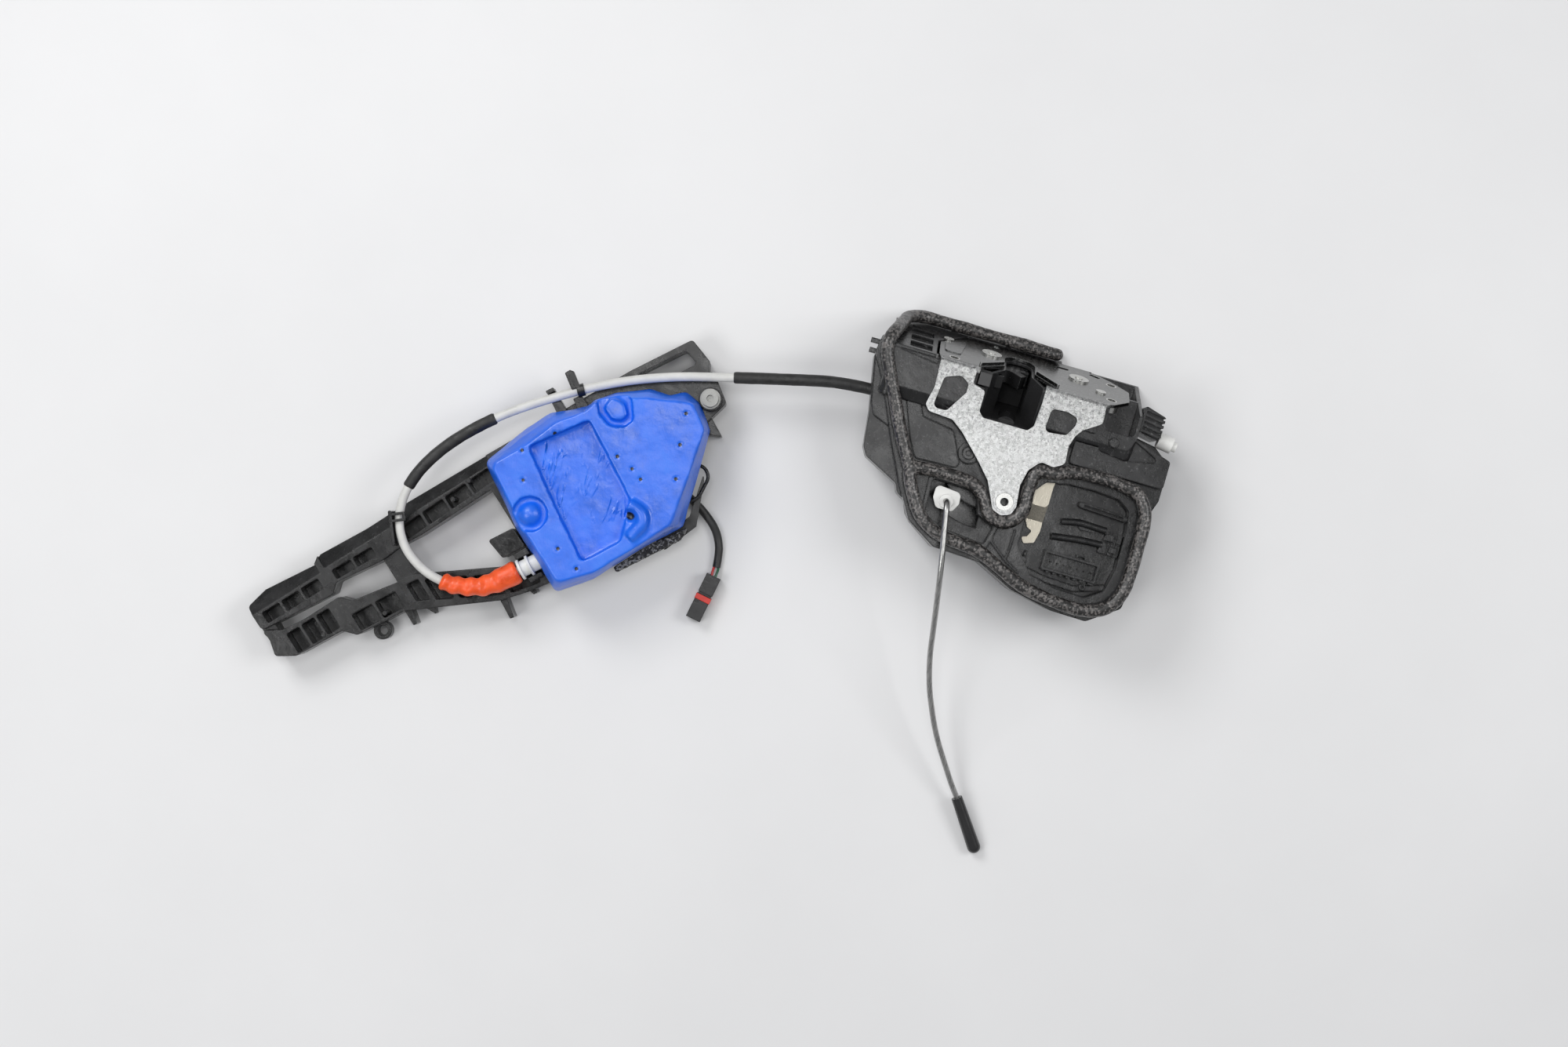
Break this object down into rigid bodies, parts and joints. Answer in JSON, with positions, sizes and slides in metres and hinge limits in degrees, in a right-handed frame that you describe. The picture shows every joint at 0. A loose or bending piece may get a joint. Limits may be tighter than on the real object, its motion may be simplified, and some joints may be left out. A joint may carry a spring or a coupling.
{
  "type": "car door lock",
  "caption": "Car door latch with bright steel frame, seal, lock rod and levers, joined by a cable to an outer handle carrier with a foam cover.",
  "frame": {"origin": "centre of the M6 threaded hole at the tip of the frame plate, on the plate's face", "axes": "+Z out of the plate's face, +X along the plate's bend towards the connector end, +Y towards the flange with the striker's mouth"},
  "size_m": [0.5158, 0.315, 0.0723],
  "materials": {
    "zinc_plate": "bright zinc plated sheet with a fine spangle",
    "black_plastic": "moulded black, satin",
    "foam_rubber": "cellular rubber",
    "liner_plastic": "smooth black",
    "coated_steel": "black plastic coat over steel",
    "spring_wire": "oiled spring wire",
    "dark_steel": "phosphated",
    "soft_rubber": "soft",
    "white_plastic": "natural white",
    "zinc_wire": "drawn and plated",
    "cap_vinyl": "dipped vinyl",
    "brass": "plain",
    "motor_steel": "bright",
    "gold_zinc": "pale passivated zinc",
    "socket_plastic": "glass filled black",
    "black_screw": "black zinc",
    "carrier_plastic": "glass filled black",
    "blue_foam": "moulded skinned foam, semi-gloss",
    "cast_zinc": "die cast",
    "felt": "needled felt",
    "gloss_black": "polished",
    "white_sheath": "extruded grey-white",
    "sleeve_rubber": "extruded",
    "orange_rubber": "moulded, semi-gloss",
    "lead_jacket": "extruded jacket",
    "lead_copper": "coloured insulation",
    "red_silicone": "moulded"
  },
  "bodies": {
    "base": {"latch_plate": "zinc_plate", "plate_nut": "zinc_plate", "flange_nuts": "zinc_plate", "latch_housing": "black_plastic", "latch_cover": "black_plastic", "latch_seal": "foam_rubber", "mouth_liner": "liner_plastic", "fork_pin": "zinc_plate", "pawl_pin": "zinc_plate", "fork_spring": "spring_wire", "pawl_spring": "spring_wire", "back_plate": "dark_steel", "frame_rivets": "zinc_plate", "striker_buffer": "soft_rubber", "lock_motor": "motor_steel", "gear_shafts": "motor_steel", "connector_socket": "socket_plastic", "contact_pins": "brass", "cover_screw": "black_screw", "microswitches": "socket_plastic", "ribbed_side_cover": "black_plastic", "side_plug": "white_plastic", "handle_carrier": "carrier_plastic", "foam_cover": "blue_foam", "bellcrank_pin": "motor_steel", "bellcrank_spring": "spring_wire", "carrier_screw": "zinc_plate", "felt_strip": "felt", "gloss_bar": "gloss_black", "sensor_box": "socket_plastic", "cable_guides": "socket_plastic", "cable_clip": "black_plastic", "cable_sheath": "white_sheath", "sleeve_latch": "sleeve_rubber", "sleeve_loop": "sleeve_rubber", "cable_boot": "orange_rubber", "cable_end_fitting": "white_plastic", "lead_sheath": "lead_jacket", "lead_wires": "lead_copper", "plug_body": "socket_plastic", "plug_seal": "red_silicone"},
    "fork": {"fork": "coated_steel"},
    "pawl": {"pawl": "coated_steel"},
    "release_link": {"release_link": "dark_steel", "latch_core": "spring_wire"},
    "inside_release": {"inside_release_lever": "gold_zinc"},
    "lock_lever": {"lock_lever": "white_plastic", "rod_clip": "white_plastic"},
    "lock_rod": {"lock_rod": "zinc_wire", "lock_rod_cap": "cap_vinyl"},
    "drive_gear": {"drive_gear": "white_plastic"},
    "motor_pinion": {"motor_pinion": "brass"},
    "bellcrank": {"bellcrank": "black_plastic", "counterweight": "cast_zinc"},
    "cable_core": {"carrier_core": "spring_wire", "cable_nipple": "cast_zinc"}
  },
  "joints": [
    {"name": "fork_turn", "type": "hinge", "parent": "base", "child": "fork", "pos_m": [-0.029, 0.085, -0.03571], "axis": [0, 0.9397, 0.342], "range_deg": [0, 39], "stiffness_Nm_per_rad": 0.03, "springref_deg": -28.65},
    {"name": "bellcrank_turn", "type": "hinge", "parent": "base", "child": "bellcrank", "pos_m": [-0.23891, -0.06005, -0.036], "axis": [0, 0, 1], "range_deg": [0, 14.32], "stiffness_Nm_per_rad": 0.05, "springref_deg": -22.92},
    {"name": "cable_pull", "type": "slide", "parent": "base", "child": "cable_core", "axis": [0.7373, 0.6756, 0], "range_m": [0, 0.0061]},
    {"name": "link_pull", "type": "slide", "parent": "base", "child": "release_link", "axis": [-1, 0, 0], "range_m": [0, 0.0061]},
    {"name": "pawl_turn", "type": "hinge", "parent": "base", "child": "pawl", "pos_m": [0.026, 0.085, -0.03571], "axis": [0, -0.9397, -0.342], "range_deg": [0, 14.42]},
    {"name": "inside_release_turn", "type": "hinge", "parent": "base", "child": "inside_release", "pos_m": [0.022, 0.034, -0.016], "axis": [0, 0, 1], "range_deg": [0, 14], "stiffness_Nm_per_rad": 0.02, "springref_deg": -17.19},
    {"name": "lock_lever_turn", "type": "hinge", "parent": "base", "child": "lock_lever", "pos_m": [-0.012, 0.026, -0.0295], "axis": [0, 0, 1], "range_deg": [0, 22]},
    {"name": "lock_rod_swing", "type": "hinge", "parent": "lock_lever", "child": "lock_rod", "pos_m": [-0.033, -0.0091, -0.007], "axis": [0, 0, 1], "range_deg": [-40, 0]},
    {"name": "drive_gear_turn", "type": "hinge", "parent": "base", "child": "drive_gear", "pos_m": [0.02976, -0.00979, -0.032], "axis": [0, 0, 1], "range_deg": [-139.34, 0]},
    {"name": "motor_turn", "type": "hinge", "parent": "base", "child": "motor_pinion", "pos_m": [0.04988, -0.02463, -0.035], "axis": [0, 0, 1], "range_deg": [0, 325.21]}
  ],
  "couplings": [
    {"joint": "cable_pull", "follows": "bellcrank_turn", "m_per_rad": 0.024},
    {"joint": "link_pull", "follows": "bellcrank_turn", "m_per_rad": 0.024},
    {"joint": "pawl_turn", "follows": "bellcrank_turn", "ratio": 1},
    {"joint": "drive_gear_turn", "follows": "lock_lever_turn", "ratio": -6.3333},
    {"joint": "motor_turn", "follows": "lock_lever_turn", "ratio": 14.778}
  ]
}
